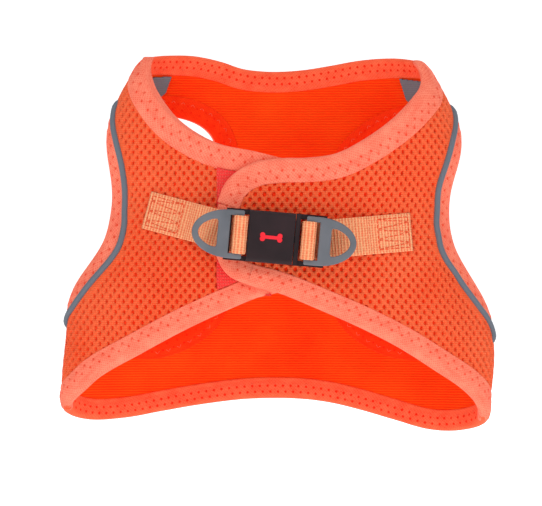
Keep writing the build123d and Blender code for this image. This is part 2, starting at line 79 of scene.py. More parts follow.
def smooth_line(points, step, closed=False, before=None, after=None):
    """Even points along a smooth line; before and after are where the line would go on."""
    p = np.asarray(points, dtype=float)
    if closed:
        p = np.vstack([p[-2:], p, p[:1]])
    else:
        start = 2 * p[0] - p[1] if before is None else before
        end = 2 * p[-1] - p[-2] if after is None else after
        p = np.vstack([start, p, end])
    f = np.arange(LINE_PARTS)[:, None] / LINE_PARTS
    fine = []
    for p0, p1, p2, p3 in zip(p, p[1:], p[2:], p[3:]):
        a, b, c = [max(np.linalg.norm(gap), 1e-6) ** 0.5 for gap in (p1 - p0, p2 - p1, p3 - p2)]
        slope1 = ((p1 - p0) / a - (p2 - p0) / (a + b) + (p2 - p1) / b) * b
        slope2 = ((p2 - p1) / b - (p3 - p1) / (b + c) + (p3 - p2) / c) * b
        leaving = (2 * f ** 3 - 3 * f ** 2 + 1) * p1 + (f ** 3 - 2 * f ** 2 + f) * slope1
        coming = (3 * f ** 2 - 2 * f ** 3) * p2 + (f ** 3 - f ** 2) * slope2
        fine.append(leaving + coming)
    fine = np.vstack(fine + [p[-2]])
    lengths = run_lengths(fine)
    count = max(2, int(round(lengths[-1] / step)) + 1)
    return at_lengths(np.linspace(0, lengths[-1], count), lengths, fine)


def offset_line(points, sideways):
    """The line moved sideways, to its left for a positive distance."""
    heading = unit(np.gradient(points, axis=0))
    return points + sideways * np.stack([-heading[:, 1], heading[:, 0]], axis=-1)


def inside(polygon, x, z):
    """Which points lie inside a closed polygon."""
    x = np.asarray(x)
    z = np.asarray(z)
    result = np.zeros(x.shape, dtype=bool)
    n = len(polygon)
    for i in range(n):
        x1, z1 = polygon[i]
        x2, z2 = polygon[(i + 1) % n]
        if z1 == z2:
            continue
        crosses = ((z1 > z) != (z2 > z)) & (x < (x2 - x1) * (z - z1) / (z2 - z1) + x1)
        result ^= crosses
    return result


# ---- body form
# Height, centre in X, half width, half depth of the outer face of the mesh, in mm.
STATIONS = np.array([
    (-102, -1.0, 110.0, 37.0),
    (-78, -1.0, 114.0, 37.0),
    (-52, 0.5, 113.5, 36.0),
    (-28, -1.0, 108.5, 35.0),
    (-2, -1.0, 96.0, 34.0),
    (22, 1.5, 90.0, 33.0),
    (49, 3.0, 93.5, 32.5),
    (68, 2.5, 90.5, 32.0),
    (84, 2.0, 83.0, 31.0),
    (101, 1.5, 70.0, 29.5),
])
# How far the right flap lies outside the left one.
FLAP_LAP = 7.0


def natural_spline(xs, ys):
    """Second derivatives of the natural cubic spline through the points."""
    n = len(xs)
    rows = np.zeros((n, n))
    right = np.zeros(n)
    rows[0, 0] = 1
    rows[-1, -1] = 1
    for i in range(1, n - 1):
        before = xs[i] - xs[i - 1]
        after = xs[i + 1] - xs[i]
        rows[i, i - 1] = before
        rows[i, i] = 2 * (before + after)
        rows[i, i + 1] = after
        right[i] = 6 * ((ys[i + 1] - ys[i]) / after - (ys[i] - ys[i - 1]) / before)
    return np.linalg.solve(rows, right)


def spline_value(xs, ys, bend, at):
    """Value of a natural cubic spline, also a little beyond its ends."""
    at = np.asarray(at, dtype=float)
    i = np.clip(np.searchsorted(xs, at) - 1, 0, len(xs) - 2)
    width = xs[i + 1] - xs[i]
    right = (at - xs[i]) / width
    left = 1 - right
    curve = ((left ** 3 - left) * bend[i] + (right ** 3 - right) * bend[i + 1]) * width ** 2 / 6
    return left * ys[i] + right * ys[i + 1] + curve


BENDS = [natural_spline(STATIONS[:, 0], STATIONS[:, k]) for k in (1, 2, 3)]


def form(z):
    """Centre, half width and half depth at height z."""
    return [spline_value(STATIONS[:, 0], STATIONS[:, k + 1], BENDS[k], z) for k in range(3)]


def surface(theta, z, t, lap):
    """Points at angle theta (0 is the middle of the back flaps), height z, t mm outside the mesh."""
    centre, half_width, half_depth = form(z)
    theta = np.asarray(theta, dtype=float)
    front = np.cos(theta) > 0
    depth = half_depth + t + np.where(front, lap, 0.0)
    x = centre + (half_width + t) * np.sin(theta)
    y = -depth * np.cos(theta)
    return np.stack([x, y, np.broadcast_to(z, x.shape)], axis=-1)


class Chart:
    """Distances along the cloth, measured round the body from one angle."""

    STEP = 2.0
    TOP = 120.0

    def __init__(self, lap, zero):
        self.lap = lap
        self.angles = np.linspace(-2 * math.pi, 2 * math.pi, 1441)
        self.rows = []
        for z in np.arange(-self.TOP, self.TOP + 1, self.STEP):
            along = run_lengths(surface(self.angles, np.full_like(self.angles, z), 0.0, lap))
            self.rows.append(along - np.interp(zero, self.angles, along))

    def at(self, values, z, inverse):
        """Distances at angles, or angles at distances, for heights z."""
        values = np.atleast_1d(np.asarray(values, dtype=float))
        z = np.broadcast_to(np.asarray(z, dtype=float), values.shape)
        level = (np.clip(z, 0.1 - self.TOP, self.TOP - 0.1) + self.TOP) / self.STEP
        low = level.astype(int)
        out = np.empty(len(values))
        for row in np.unique(low):
            pick = low == row
            ends = []
            for known in self.rows[row:row + 2]:
                pair = (known, self.angles) if inverse else (self.angles, known)
                ends.append(np.interp(values[pick], *pair))
            out[pick] = ends[0] + (ends[1] - ends[0]) * (level - low)[pick]
        return out

    def angle(self, s, z):
        return self.at(s, z, True)

    def along(self, theta, z):
        return self.at(theta, z, False)

    def point(self, s, z, t):
        """Points of the cloth, t mm outside the mesh."""
        s = np.atleast_1d(np.asarray(s, dtype=float))
        z = np.broadcast_to(np.asarray(z, dtype=float), s.shape)
        return surface(self.angle(s, z), z, t, self.lap)

    def place(self, s, z):
        """Angle and X of points of the chart."""
        theta = self.angle(s, z)
        centre, half_width, _ = form(z)
        return theta, centre + half_width * np.sin(theta)

    def across(self, line, heading):
        """Chart steps that move 1 mm over the cloth, square to a heading, to its left."""
        s, z = line.T
        here = self.point(s, z, 0.0)
        one = (self.point(s + 0.5, z, 0.0) - here) / 0.5
        two = (self.point(s, z + 0.5, 0.0) - here) / 0.5
        ahead = one * heading[:, :1] + two * heading[:, 1:]
        side = unit(np.cross(np.cross(one, two), ahead))
        a, b, c = (one * one).sum(1), (one * two).sum(1), (two * two).sum(1)
        d, e = (one * side).sum(1), (two * side).sum(1)
        spread = a * c - b * b
        return np.stack([(c * d - b * e) / spread, (a * e - b * d) / spread], axis=-1)


LEFT = Chart(0.0, 0.0)
RIGHT = Chart(FLAP_LAP, 0.0)
CHEST = Chart(0.0, math.pi)
CHEST_FROM_LEFT = Chart(0.0, -math.pi)
LEFT_CHART = Chart(0.0, -math.pi / 2)
RIGHT_CHART = Chart(FLAP_LAP, math.pi / 2)


def front_angle(x, z):
    """Angle of the front of the body at X and Z."""
    centre, half_width, _ = form(z)
    return np.arcsin(np.clip((np.asarray(x) - centre) / half_width, -1, 1))


def on_front(chart, points):
    """Points given as X and Z, as distances along the cloth of the back flaps."""
    p = np.asarray(points, dtype=float)
    return np.stack([chart.along(front_angle(p[:, 0], p[:, 1]), p[:, 1]), p[:, 1]], axis=-1)


def on_chest(chart, points, turn):
    """The same on the chest side; turn is 1 to go round by +X and -1 to go round by -X."""
    p = np.asarray(points, dtype=float)
    theta = turn * math.pi - front_angle(p[:, 0], p[:, 1])
    return np.stack([chart.along(theta, p[:, 1]), p[:, 1]], axis=-1)


# ---- lines of the tapes (X, Z in mm)
CHEST_NECK = [(-61, 94.3), (-47, 94.0), (-34, 91.5), (-21, 87.5), (-8, 86.0), (4, 86.0), (16, 87.0)]
CHEST_NECK += [(29, 89), (46, 91.8), (63, 92.8)]
HEM = [(-104, -88.5), (-84, -88), (-65, -84.8), (-43, -81.2), (-17, -78.3)]
HEM += [(11, -78.2), (29, -80.3), (46, -84.2), (65, -89.5), (84, -94.4), (100, -94.2)]
LEFT_NECK = [(-76, 87), (-72, 76), (-58.6, 59.4), (-37, 46.6), (-13, 41.2), (0, 38)]
LEFT_TIP = [(9, 30), (12, 10), (10, -10), (2, -19)]
LEFT_LOWER = [(-13, -23.5), (-29, -30), (-54, -41.6), (-77, -53.8), (-98, -65.5), (-109, -75)]
RIGHT_NECK = [(-26.5, 19), (-22.5, 28), (-12.5, 35), (2, 37.3), (15.5, 37.6), (32, 40), (48.5, 48)]
RIGHT_NECK += [(65, 59.5), (77, 71.5), (82.5, 80)]
RIGHT_TIP = [(-28.8, 8), (-28, -4), (-23.5, -12.5), (-15, -16.6)]
RIGHT_LOWER = [(2.3, -21.3), (24.4, -30.2), (46.4, -39.8), (66.3, -49.8), (86, -62), (101, -72)]
RIGHT_LOWER += [(109, -80)]
LEFT_OPENING = [(-74, 68), (-52, 65.8), (-41.2, 61), (-34.6, 54), (-31.6, 38), (-31.5, 2)]
LEFT_OPENING += [(-35, -25), (-42, -38.5), (-55, -47.5), (-76, -52)]
RIGHT_OPENING = [(76, 63), (58, 57), (48, 50.5), (40.5, 43), (35.5, 30), (33, 2)]
RIGHT_OPENING += [(35.5, -25), (42.5, -38.5), (55, -47.5), (76, -52.5)]
LEFT_PIPING = [(-85.1, 75.5), (-87, 68), (-87, 61), (-85.6, 54), (-82.6, 41.5), (-80.8, 29), (-80.8, 16)]
LEFT_PIPING += [(-80.9, 9.5), (-82, 3.4), (-84.2, -3), (-88.6, -9.5), (-94, -15.8), (-99.4, -22)]
LEFT_PIPING += [(-104.4, -28.5), (-108.8, -34.8), (-111.8, -40.5), (-113, -45.5)]
RIGHT_PIPING = [(91.1, 73), (92.9, 67), (92.9, 61), (91.4, 54), (88, 41.5), (84, 29), (83, 16)]
RIGHT_PIPING += [(82.7, 9.5), (83.7, 3.4), (85, -3), (88, -9.5), (92.4, -15.8), (96.4, -22)]
RIGHT_PIPING += [(101.2, -28.5), (106, -34.8), (110.4, -41), (112.9, -47.2), (113.8, -53.5)]

# ---- outlines
BINDING_WIDTH = 11.0
OUTLINE_STEP = 2.0
# From a piping's middle to its leg tape's edge, and how finely the leg tape's line is drawn.
PIPING_GAP = 1.9
LEG_STEP = 2.2
# Rounds of averaging that ease the leg openings' lines.
RELAX = 10

# The panels' outlines go on past the sides, where the charts cut the cloth.
left_line = [(-78.5, 98)] + LEFT_NECK + LEFT_TIP + LEFT_LOWER + [(-125, -84)]
left_polygon = np.vstack([smooth_line(left_line, OUTLINE_STEP), [(-150, -84), (-150, 99)]])
right_line = [(90, 97)] + RIGHT_NECK[::-1] + RIGHT_TIP + RIGHT_LOWER + [(125, -92)]
right_polygon = np.vstack([smooth_line(right_line, OUTLINE_STEP), [(150, -92), (150, 97)]])
chest_line = smooth_line([(-92, 88)] + CHEST_NECK + [(96, 88)], OUTLINE_STEP)
hem_line = smooth_line([(-125, -86)] + HEM + [(125, -88)], OUTLINE_STEP)
chest_polygon = np.vstack([chest_line, [(150, 88), (150, -88)], hem_line[::-1], [(-150, -86), (-150, 88)]])


def leg_area(chart, piping, opening, turn):
    """Middle line of a leg opening's tape, closed, as distances along the cloth."""
    front = on_front(chart, piping)
    front[:, 0] += turn * (PIPING_GAP + BINDING_WIDTH / 2)
    back = offset_line(on_chest(chart, opening, turn), turn * BINDING_WIDTH / 2)
    line = smooth_line(np.vstack([front[1:][::-1], back]), LEG_STEP, closed=True)[:-1]
    for _ in range(RELAX):
        line = (np.roll(line, 1, axis=0) + 2 * line + np.roll(line, -1, axis=0)) / 4
    return smooth_line(line, LEG_STEP, closed=True)


left_leg_line = leg_area(LEFT_CHART, LEFT_PIPING[:-1], LEFT_OPENING, -1)
right_leg_line = leg_area(RIGHT_CHART, RIGHT_PIPING[:-1], RIGHT_OPENING, 1)


# ---- mesh helpers
def new_piece(name, verts, faces, materials, slots=None, uvs=None):
    """A smooth mesh object from points in mm."""
    mesh = bpy.data.meshes.new(name)
    mesh.from_pydata((np.asarray(verts) * MM).tolist(), [], faces)
    for material in materials:
        mesh.materials.append(material)
    if slots is not None:
        mesh.polygons.foreach_set("material_index", slots)
    if uvs is not None:
        layer = mesh.uv_layers.new(name="UVMap")
        loops = np.empty(len(mesh.loops), dtype=np.int32)
        mesh.loops.foreach_get("vertex_index", loops)
        layer.data.foreach_set("uv", np.asarray(uvs)[loops].ravel())
    mesh.polygons.foreach_set("use_smooth", [True] * len(mesh.polygons))
    mesh.update()
    piece = bpy.data.objects.new(name, mesh)
    bpy.context.scene.collection.objects.link(piece)
    return piece


def finish_piece(piece, body, node):
    """Rides on a body and stands for its CAD node."""
    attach(piece, body)
    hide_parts(node)
    return piece


class Builder:
    """Collects points and faces of one piece."""

    def __init__(self):
        self.verts = []
        self.faces = []
        self.slots = []
        self.uvs = []
        self.count = 0

    def add(self, verts, faces, slot=0, uvs=None):
        verts = np.asarray(verts, dtype=float).reshape(-1, 3)
        start = self.count
        self.verts.append(verts)
        if uvs is None:
            uvs = np.zeros((len(verts), 2))
        self.uvs.append(np.asarray(uvs, dtype=float).reshape(-1, 2))
        self.count += len(verts)
        self.faces.extend([tuple(start + i for i in face) for face in faces])
        self.slots.extend([slot] * len(faces))

    def piece(self, name, materials):
        return new_piece(
            name, np.vstack(self.verts), self.faces, materials, self.slots, np.vstack(self.uvs)
        )


def ring_faces(rows, around, flip=False, closed=False):
    """Quads between successive rings of points, capped at both ends unless the rings close up."""
    faces = []
    for i in range(rows if closed else rows - 1):
        j = (i + 1) % rows
        for k in range(around):
            m = (k + 1) % around
            faces.append((i * around + k, i * around + m, j * around + m, j * around + k))
    if not closed:
        faces.append(tuple(range(around))[::-1])
        faces.append(tuple(range((rows - 1) * around, rows * around)))
    return [face[::-1] for face in faces] if flip else faces


def thread(builder, points, radius, slot, sides=5, tips=()):
    """A round thread through points in mm; tips are the shares of its radius at each end's points."""
    heading = unit(np.gradient(points, axis=0))
    upright = abs(heading[0][2]) > 0.9
    carried = np.cross(heading[0], (1.0, 0.0, 0.0) if upright else (0.0, 0.0, 1.0))
    one = np.empty_like(points)
    for k, ahead in enumerate(heading):
        carried = unit(carried - np.dot(carried, ahead) * ahead)
        one[k] = carried
    two = np.cross(heading, one)
    thick = np.full((len(points), 1), float(radius))
    for k, share in enumerate(tips):
        thick[[k, -1 - k]] = radius * share
    rings = []
    for k in range(sides):
        angle = 2 * math.pi * k / sides
        rings.append(points + thick * (math.cos(angle) * one + math.sin(angle) * two))
    builder.add(np.stack(rings, axis=1), ring_faces(len(points), sides), slot)


# ---- materials
# Zigzag seam of the tapes: half a zigzag along, pin hole size, and its rows round the section, in mm.
ZIGZAG = 3.0
NEEDLE = 0.85
NEEDLE_ROWS = ((3.5, 0.0), (6.6, 0.5), (19.6, 0.0), (22.7, 0.5))
PAIR_ROWS = ((4.2, 0.0), (7.4, 0.35), (19.2, 0.0), (22.4, 0.35))
# A wave texture of scale 1 repeats in this many metres.
WAVE_PERIOD = 0.314


def node_material(name):
    material = bpy.data.materials.new(name)
    material.use_nodes = True
    nodes = material.node_tree.nodes
    nodes.clear()
    out = nodes.new("ShaderNodeOutputMaterial")
    shader = nodes.new("ShaderNodeBsdfPrincipled")
    material.node_tree.links.new(shader.outputs["BSDF"], out.inputs["Surface"])
    return material, material.node_tree, shader


def link(tree, a, b):
    tree.links.new(a, b)


def coordinates(tree, kind):
    return tree.nodes.new("ShaderNodeTexCoord").outputs[kind]


def turned(tree, vector, field, value):
    """Coordinates turned or stretched by one field of a mapping node."""
    mapping = tree.nodes.new("ShaderNodeMapping")
    mapping.inputs[field].default_value = value
    link(tree, vector, mapping.inputs["Vector"])
    return mapping.outputs["Vector"]


def noise(tree, vector, scale, detail=2.0, rough=0.5):
    node = tree.nodes.new("ShaderNodeTexNoise")
    node.inputs["Scale"].default_value = scale
    node.inputs["Detail"].default_value = detail
    node.inputs["Roughness"].default_value = rough
    link(tree, vector, node.inputs["Vector"])
    return node.outputs["Fac"]


def wave(tree, vector, pitch, direction, distortion):
    """Soft bands, a pitch in mm apart."""
    node = tree.nodes.new("ShaderNodeTexWave")
    node.wave_type = "BANDS"
    node.bands_direction = direction
    node.wave_profile = "SIN"
    node.inputs["Scale"].default_value = WAVE_PERIOD / (pitch * MM)
    node.inputs["Distortion"].default_value = distortion
    node.inputs["Detail"].default_value = 1.0
    link(tree, vector, node.inputs["Vector"])
    return node.outputs["Fac"]


def math_node(tree, kind, a, b):
    node = tree.nodes.new("ShaderNodeMath")
    node.operation = kind
    for i, value in enumerate((a, b)):
        if isinstance(value, (int, float)):
            node.inputs[i].default_value = value
        else:
            link(tree, value, node.inputs[i])
    return node.outputs[0]


def paint(tree, shader, fac, low, high, dark, light):
    """Base colour from dark at fac low to light at fac high."""
    node = tree.nodes.new("ShaderNodeValToRGB")
    for element, position, colour in zip(node.color_ramp.elements, (low, high), (dark, light)):
        element.position = position
        element.color = (*colour, 1)
    link(tree, fac, node.inputs["Fac"])
    link(tree, node.outputs["Color"], shader.inputs["Base Color"])


def relief(tree, shader, *layers):
    """Bumps, each given by its height pattern, strength and depth in mm."""
    normal = None
    for height, strength, depth in layers:
        node = tree.nodes.new("ShaderNodeBump")
        node.inputs["Strength"].default_value = strength
        node.inputs["Distance"].default_value = depth * MM
        link(tree, height, node.inputs["Height"])
        if normal is not None:
            link(tree, normal, node.inputs["Normal"])
        normal = node.outputs["Normal"]
    link(tree, normal, shader.inputs["Normal"])


def cloth_shader(shader, roughness, sheen):
    shader.inputs["Roughness"].default_value = roughness
    shader.inputs["Sheen Weight"].default_value = sheen
    shader.inputs["Sheen Roughness"].default_value = 0.45
    shader.inputs["Specular IOR Level"].default_value = 0.1


def cloth_mix(tree, *parts):
    """Weighted sum of grey patterns."""
    total = 0.0
    for weight, value in parts:
        total = math_node(tree, "ADD", total, math_node(tree, "MULTIPLY", value, weight))
    return total


def knit_loops(tree, vector, pitch):
    """Rows and columns of small knitted loops, pitch in mm."""
    rows = wave(tree, vector, pitch, "Y", 0.7)
    columns = wave(tree, vector, pitch / 1.2, "X", 0.7)
    return math_node(tree, "MULTIPLY", rows, columns)


def knit_cloth(name, dark, light, pitch, strength=0.5, roughness=0.85):
    """Fine knitted cloth: small loops in rows, fuzz, and slow colour drift."""
    material, tree, shader = node_material(name)
    vector = coordinates(tree, "UV")
    loops = knit_loops(tree, vector, pitch)
    fuzz = noise(tree, vector, 1100, 3.0, 0.7)
    drift = noise(tree, vector, 22)
    mixed = cloth_mix(tree, (0.45, loops), (0.40, fuzz), (0.40, drift))
    paint(tree, shader, mixed, 0.28, 0.82, dark, light)
    relief(tree, shader, (loops, strength, 0.4), (fuzz, 0.3, 0.2))
    cloth_shader(shader, roughness, 0.03)
    return material


def ribbed_lining(name, dark, light):
    """Smooth knitted lining: fine level ribs, fuzz and slow drift."""
    material, tree, shader = node_material(name)
    vector = coordinates(tree, "UV")
    ribs = wave(tree, vector, 1.35, "Y", 0.8)
    fuzz = noise(tree, vector, 900, 3.0, 0.7)
    drift = noise(tree, vector, 20, 3.0, 0.6)
    mixed = cloth_mix(tree, (0.30, ribs), (0.25, fuzz), (0.60, drift))
    paint(tree, shader, mixed, 0.30, 0.78, dark, light)
    relief(tree, shader, (ribs, 0.5, 0.3), (fuzz, 0.3, 0.2))
    cloth_shader(shader, 0.85, 0.02)
    return material


def needle_marks(tree, split, row, shift, gap):
    """Dark pin holes along one row of a tape's seam, gap mm apart; row in mm round the section."""
    turns = math_node(tree, "DIVIDE", split.outputs["X"], gap * MM)
    turns = math_node(tree, "FRACT", math_node(tree, "ADD", turns, shift), 0.0)
    along = math_node(tree, "MULTIPLY", math_node(tree, "SUBTRACT", turns, 0.5), gap)
    across = math_node(tree, "DIVIDE", split.outputs["Y"], MM)
    across = math_node(tree, "SUBTRACT", across, row)
    squares = [math_node(tree, "POWER", side, 2.0) for side in (along, across)]
    away = math_node(tree, "DIVIDE", math_node(tree, "ADD", *squares), NEEDLE ** 2)
    return math_node(tree, "MAXIMUM", math_node(tree, "SUBTRACT", 1.0, away), 0.0)


def binding_tape(name, dark, light, rows=NEEDLE_ROWS, gap=2 * ZIGZAG, depth=0.8):
    """Knitted binding tape: slanting rows of dark pin dots, fuzz, and the marks of its seam."""
    material, tree, shader = node_material(name)
    vector = coordinates(tree, "UV")
    slanted = turned(tree, vector, "Rotation", (0.0, 0.0, math.radians(38.0)))
    pins = math_node(tree, "POWER", knit_loops(tree, slanted, 1.25), 2.0)
    fuzz = noise(tree, vector, 1000, 3.0, 0.75)
    patches = noise(tree, vector, 130, 3.0, 0.6)
    folds = noise(tree, turned(tree, vector, "Scale", (0.35, 1.0, 1.0)), 420)
    mixed = cloth_mix(tree, (-0.38, pins), (0.62, fuzz), (0.50, patches), (0.35, folds))
    split = tree.nodes.new("ShaderNodeSeparateXYZ")
    link(tree, vector, split.inputs["Vector"])
    marks = 0.0
    for row, shift in rows:
        marks = math_node(tree, "MAXIMUM", marks, needle_marks(tree, split, row, shift, gap))
    broken = math_node(tree, "MULTIPLY", marks, math_node(tree, "MULTIPLY", fuzz, 2 * depth))
    mixed = math_node(tree, "SUBTRACT", mixed, broken)
    paint(tree, shader, mixed, 0.18, 0.86, dark, light)
    relief(tree, shader, (pins, -0.6, 0.3), (fuzz, 0.4, 0.2), (folds, 0.5, 0.4))
    cloth_shader(shader, 0.85, 0.03)
    return material


def woven_web(name, dark, light):
    """Flat woven webbing: ribs across it with fine warp threads along it."""
    material, tree, shader = node_material(name)
    vector = coordinates(tree, "UV")
    ribs = wave(tree, vector, 1.7, "X", 0.5)
    warp = wave(tree, vector, 1.3, "Y", 0.5)
    fuzz = noise(tree, vector, 750, 3.0, 0.8)
    drift = noise(tree, vector, 90)
    mixed = cloth_mix(tree, (0.30, ribs), (0.14, warp), (0.62, fuzz), (0.22, drift))
    paint(tree, shader, mixed, 0.32, 0.84, dark, light)
    relief(tree, shader, (ribs, 0.7, 0.6), (warp, 0.4, 0.4), (fuzz, 0.3, 0.2))
    cloth_shader(shader, 0.8, 0.04)
    return material


def plain_thread(name, dark, light):
    """Sewing thread with a little fuzz."""
    material, tree, shader = node_material(name)
    fuzz = noise(tree, coordinates(tree, "Object"), 1500, 2.0, 0.6)
    paint(tree, shader, fuzz, 0.3, 0.7, dark, light)
    relief(tree, shader, (fuzz, 0.4, 0.2))
    cloth_shader(shader, 0.7, 0.04)
    return material


def moulded(name, dark, light, roughness, grain, specular):
    """Moulded plastic: faint grain, slight gloss changes, paler rubbed places."""
    material, tree, shader = node_material(name)
    vector = coordinates(tree, "Object")
    broad = noise(tree, vector, 60)
    paint(tree, shader, broad, 0.3, 0.75, dark, light)
    relief(tree, shader, (noise(tree, vector, 1800, 3.0, 0.6), grain, 0.1))
    gloss = tree.nodes.new("ShaderNodeMapRange")
    gloss.inputs["To Min"].default_value = roughness - 0.06
    gloss.inputs["To Max"].default_value = roughness + 0.08
    link(tree, broad, gloss.inputs["Value"])
    link(tree, gloss.outputs["Result"], shader.inputs["Roughness"])
    shader.inputs["Specular IOR Level"].default_value = specular
    return material


MESH_CLOTH = knit_cloth("air_mesh", (0.90, 0.064, 0.012), (0.97, 0.215, 0.085), 1.0, 0.7)
BACKING = knit_cloth("mesh_backing", (0.92, 0.026, 0.004), (0.98, 0.075, 0.012), 1.2)
LINING = ribbed_lining("lining_knit", (0.92, 0.018, 0.0005), (0.98, 0.092, 0.004))
BINDING = binding_tape("binding_knit", (0.84, 0.048, 0.020), (0.99, 0.265, 0.165), depth=0.5)
CHEST_BINDING = binding_tape("binding_chest", (0.86, 0.020, 0.004), (0.98, 0.165, 0.070), PAIR_ROWS, 4.3)
# The leg tapes' inner face is the same binding tape painted much darker: painted shade inside the vest.
LEG_INSIDE_PAINTED_SHADE = binding_tape("binding_inside_painted_shade", (0.86, 0.010, 0.0004), (0.96, 0.050, 0.004), depth=0.4)
HOOK_LOOP = knit_cloth("hook_loop", (0.90, 0.022, 0.026), (0.96, 0.120, 0.090), 1.6, 1.0)
WEBBING = woven_web("webbing_weave", (0.86, 0.100, 0.032), (0.99, 0.480, 0.240))
STITCH = plain_thread("stitch_thread", (0.88, 0.085, 0.036), (0.96, 0.210, 0.110))
STRAP_STITCH = plain_thread("strap_thread", (0.72, 0.050, 0.012), (0.88, 0.130, 0.045))
PIPING = knit_cloth("reflective_piping", (0.115, 0.138, 0.170), (0.205, 0.235, 0.275), 0.8, 0.3, 0.5)
PATCH = knit_cloth("reflective_patch", (0.130, 0.160, 0.185), (0.195, 0.235, 0.265), 1.0, 0.3, 0.5)
RING = moulded("ring_grey", (0.108, 0.118, 0.136), (0.155, 0.163, 0.186), 0.42, 0.05, 0.35)
BUCKLE = moulded("buckle_black", (0.014, 0.007, 0.009), (0.026, 0.012, 0.015), 0.5, 0.12, 0.22)
EMBLEM = moulded("emblem_red", (0.80, 0.014, 0.026), (0.90, 0.028, 0.046), 0.5, 0.05, 0.2)

# ---- air mesh and lining
# How far the charts are searched to both sides, and up and down for holes and for linings.
SPAN = 170.0
HOLES_TALL = 115.0
LINING_TALL = 108.0
LINING_STEP = 2.5
LINING_LAYERS = (-1.5, -4.0)
PITCH = 4.87
ROW = 2.8
HOLE_WIDE = 0.95
HOLE_TALL = 1.2
HOLE_CORNERS = 12
# Size and height of the rings of points from a hole's rim down into it.
HOLE_RINGS = ((1.3, -0.1), (1.02, -0.5), (0.98, -1.4))
# A hole's centre stays this far from the piping's line.
SEAM_CLEAR = 2.6
# The back flaps' and the chest's cloth lap this far past the side, as an angle.
SIDE_LAP = 0.05
# No cell of a back flap lies lower than this.
FLAP_LOW = -103.0


def diamond_rim():
    """Points round the diamond that one hole's cell fills, corner to corner."""
    corners = np.array([(PITCH / 2, 0), (0, ROW), (-PITCH / 2, 0), (0, -ROW)])
    rim = []
    for a, b in zip(corners, np.roll(corners, -1, axis=0)):
        for part in range(HOLE_CORNERS // 4):
            rim.append(a + (b - a) * part / (HOLE_CORNERS // 4))
    return np.array(rim)


def hole_cloth(name, chart, keep, node, level, seam):
    """Outer layer of the air mesh: staggered rows of cells, a hole in each but those under a seam."""
    columns = np.arange(int(SPAN * 2 / PITCH))
    sites = []
    for j in range(int(2 * HOLES_TALL / ROW)):
        shift = PITCH / 2 if j % 2 else 0.0
        sites += [(-SPAN + i * PITCH + shift, -HOLES_TALL + j * ROW) for i in columns]
    sites = np.array(sites)
    sites = sites[keep(*sites.T)]
    angles = 2 * math.pi * np.arange(HOLE_CORNERS) / HOLE_CORNERS
    oval = np.stack([HOLE_WIDE * np.cos(angles), HOLE_TALL * np.sin(angles)], axis=-1)
    rim = diamond_rim()
    known = {}
    flat = []
    heights = []
    faces = []

    def shared(s, z):
        key = (round(s * 5), round(z * 5))
        if key not in known:
            known[key] = len(flat)
            flat.append((s, z))
            heights.append(0.0)
        return known[key]

    for s, z in sites:
        rings = [[shared(s + d[0], z + d[1]) for d in rim]]
        if seam is not None and np.min(np.hypot(seam[:, 0] - s, seam[:, 1] - z)) < SEAM_CLEAR:
            faces.append(tuple(rings[0]))
            continue
        for size, height in HOLE_RINGS:
            rings.append(list(range(len(flat), len(flat) + HOLE_CORNERS)))
            flat += [(s + size * d[0], z + size * d[1]) for d in oval]
            heights += [height] * HOLE_CORNERS
        for a, b in zip(rings, rings[1:]):
            for k in range(HOLE_CORNERS):
                m = (k + 1) % HOLE_CORNERS
                faces.append((a[k], a[m], b[m], b[k]))
    flat = np.array(flat)
    verts = chart.point(*flat.T, np.array(heights) + level)
    piece = new_piece(name, verts, faces, [MESH_CLOTH], None, flat * MM)
    finish_piece(piece, "vest", node)


def grid_shell(name, chart, keep, step, low, high, layers, materials):
    """A closed thin cloth on a fine grid cut by a keep test; layers are its outer and inner height."""
    grid_s, grid_z = np.meshgrid(np.arange(-SPAN, SPAN, step), np.arange(low, high, step))
    centres = [(grid[:-1, :-1] + step / 2) for grid in (grid_s, grid_z)]
    kept = keep(*[centre.ravel() for centre in centres]).reshape(centres[0].shape)
    used = np.zeros(grid_s.shape, dtype=bool)
    for dj in (0, 1):
        for di in (0, 1):
            used[dj:dj + kept.shape[0], di:di + kept.shape[1]] |= kept
    index = np.cumsum(used).reshape(used.shape) - 1
    flat = np.stack([grid_s[used], grid_z[used]], axis=-1)
    count = len(flat)
    corners = [index[:-1, :-1], index[:-1, 1:], index[1:, 1:], index[1:, :-1]]
    quads = np.stack(corners, axis=-1)[kept].tolist()
    edges = [edge for quad in quads for edge in zip(quad, quad[1:] + quad[:1])]
    known = set(edges)
    walls = [(b, a, a + count, b + count) for a, b in edges if (b, a) not in known]
    under = [[corner + count for corner in quad[::-1]] for quad in quads]
    slots = [0] * len(quads) + [len(materials) - 1] * (len(under) + len(walls))
    both = np.vstack([flat, flat])
    verts = chart.point(*both.T, np.repeat(layers, count))
    piece = new_piece(name, verts, quads + under + walls, materials, slots, both * MM)
    return piece, flat, len(quads) * step ** 2


def lining_piece(name, chart, keep, node):
    """A panel's lining, with the backing of the air mesh as its outer face."""
    tall = LINING_TALL
    piece, flat, area = grid_shell(
        name, chart, keep, LINING_STEP, -tall, tall, LINING_LAYERS, [BACKING, LINING]
    )
    finish_piece(piece, "vest", node)


def keep_front(chart, polygon, leg_line, leg_chart):
    """Cells of a back flap: inside its outline and clear of the leg opening."""

    def keep(s, z):
        theta, x = chart.place(s, z)
        ok = inside(polygon, x, z) & (np.abs(theta) < math.pi / 2 + SIDE_LAP) & (z > FLAP_LOW)
        return ok & ~inside(leg_line, leg_chart.along(theta, z), z)

    return keep


def keep_chest(s, z):
    """Cells of the chest panel: between neck and hem, clear of both leg openings."""
    theta, x = CHEST.place(s, z)
    ok = inside(chest_polygon, x, z) & (np.abs(theta - math.pi) < math.pi / 2 + SIDE_LAP)
    ok &= ~inside(right_leg_line, RIGHT_CHART.along(theta, z), z)
    return ok & ~inside(left_leg_line, LEFT_CHART.along(theta - 2 * math.pi, z), z)


